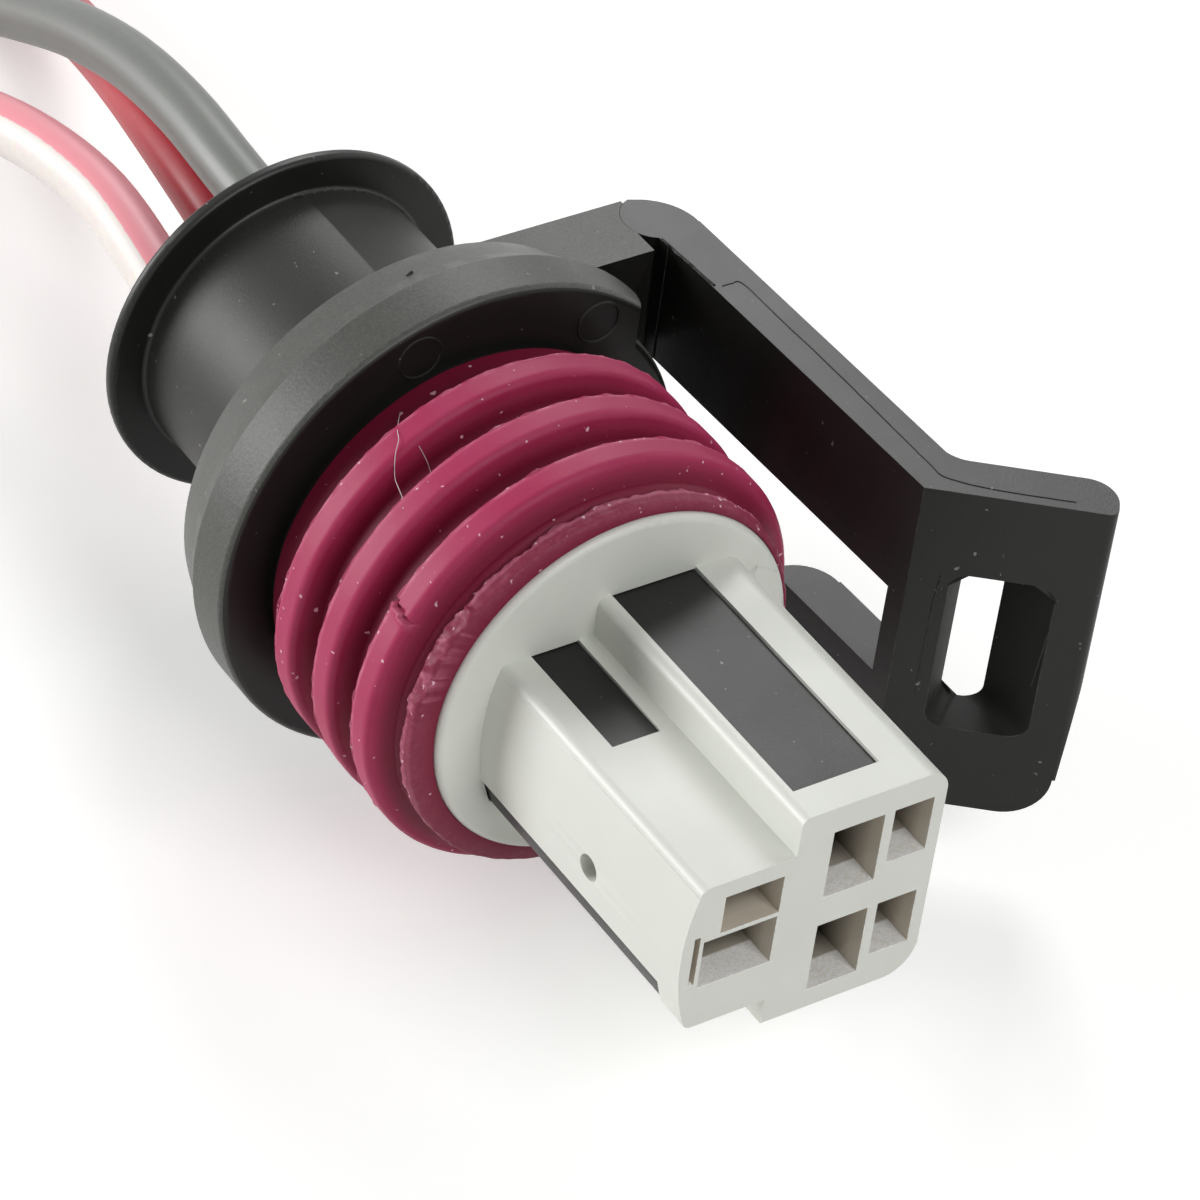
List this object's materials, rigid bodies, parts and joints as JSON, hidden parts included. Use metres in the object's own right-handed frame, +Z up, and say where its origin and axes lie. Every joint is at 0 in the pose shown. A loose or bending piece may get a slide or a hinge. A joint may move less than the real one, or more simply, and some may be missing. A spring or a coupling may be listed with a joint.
{
  "type": "sealed automotive connector",
  "caption": "Sealed automotive plug with a ribbed seal, a light nose cap with blade windows, a flanged black housing with a sprung side latch, and a pigtail of wires.",
  "frame": {"origin": "on the plug's axis, at the front face of the mid flange", "axes": "-Y out of the nose along the plugging direction, +X to the side latch, +Z up"},
  "size_m": [0.0287, 0.1384, 0.0218],
  "materials": {
    "black_nylon": "moulded glass-filled nylon, fine grain",
    "wine_silicone": "satin silicone rubber",
    "grey_cap": "moulded light grey thermoplastic, satin",
    "cable_seal_silicone": "satin silicone rubber",
    "tinned_terminal": "tin-plated brass strip",
    "copper_strand": "bare copper strands",
    "pink_white_insulation": "white insulation with a pink stripe",
    "grey_insulation": "satin insulation",
    "red_insulation": "satin insulation"
  },
  "bodies": {
    "plug": {"housing": "black_nylon", "main_seal": "wine_silicone", "nose_cap": "grey_cap", "cable_seal_1": "cable_seal_silicone", "cable_seal_2": "cable_seal_silicone", "cable_seal_3": "cable_seal_silicone", "terminal_1": "tinned_terminal", "terminal_2": "tinned_terminal", "terminal_3": "tinned_terminal", "conductor_1": "copper_strand", "conductor_2": "copper_strand", "conductor_3": "copper_strand", "wire_1": "pink_white_insulation", "wire_2": "grey_insulation", "wire_3": "red_insulation", "bare_end_1": "copper_strand", "bare_end_2": "copper_strand", "bare_end_3": "copper_strand"},
    "latch": {"latch": "black_nylon"}
  },
  "joints": [
    {"name": "latch_flex", "type": "hinge", "parent": "plug", "child": "latch", "pos_m": [0.0113, 0.0053, 0.0049], "axis": [0, 0, 1], "range_deg": [0, 6], "stiffness_Nm_per_rad": 0.8}
  ]
}
